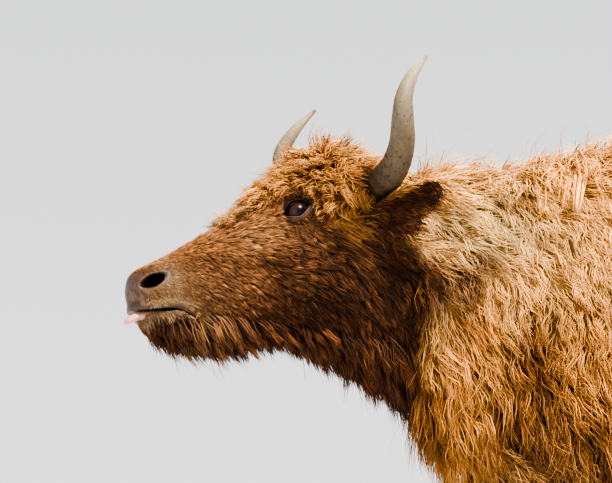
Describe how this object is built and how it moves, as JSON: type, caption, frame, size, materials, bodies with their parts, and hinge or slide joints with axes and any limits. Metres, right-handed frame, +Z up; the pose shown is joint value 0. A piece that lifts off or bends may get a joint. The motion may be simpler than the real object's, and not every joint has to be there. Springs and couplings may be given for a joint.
{
  "type": "animal",
  "caption": "Still life-size figure of a long-haired yak cow, standing, head up and turned a little left, upcurved horns, curled hair on the poll, long coat down to the knees, bushy tail",
  "frame": {"origin": "Middle of the bounding box, at the level of the soles", "axes": "+Z up, -Y towards the nose, +X towards the animal's left side"},
  "size_m": [0.7202, 2.254, 1.2694],
  "materials": {
    "brown_coat": "matt, short brown hair",
    "dark_coat": "matt, dark brown hair",
    "golden_coat": "matt, long golden hair",
    "horn": "grey-beige horn",
    "claw": "dark horn of the claws",
    "eye": "wet, very dark brown",
    "tongue": "pink, damp"
  },
  "bodies": {
    "root": {"ear_left": "brown_coat", "ear_right": "brown_coat", "eye_left": "eye", "eye_right": "eye", "head": "brown_coat", "hoof_front_left_inner": "claw", "hoof_front_left_outer": "claw", "hoof_front_right_inner": "claw", "hoof_front_right_outer": "claw", "hoof_hind_left_inner": "claw", "hoof_hind_left_outer": "claw", "hoof_hind_right_inner": "claw", "hoof_hind_right_outer": "claw", "horn_left": "horn", "horn_right": "horn", "leg_front_left": "golden_coat", "leg_front_right": "golden_coat", "leg_hind_left": "golden_coat", "leg_hind_right": "golden_coat", "lower_jaw": "dark_coat", "neck": "golden_coat", "tail": "dark_coat", "tongue": "tongue", "torso": "golden_coat"}
  },
  "joints": []
}
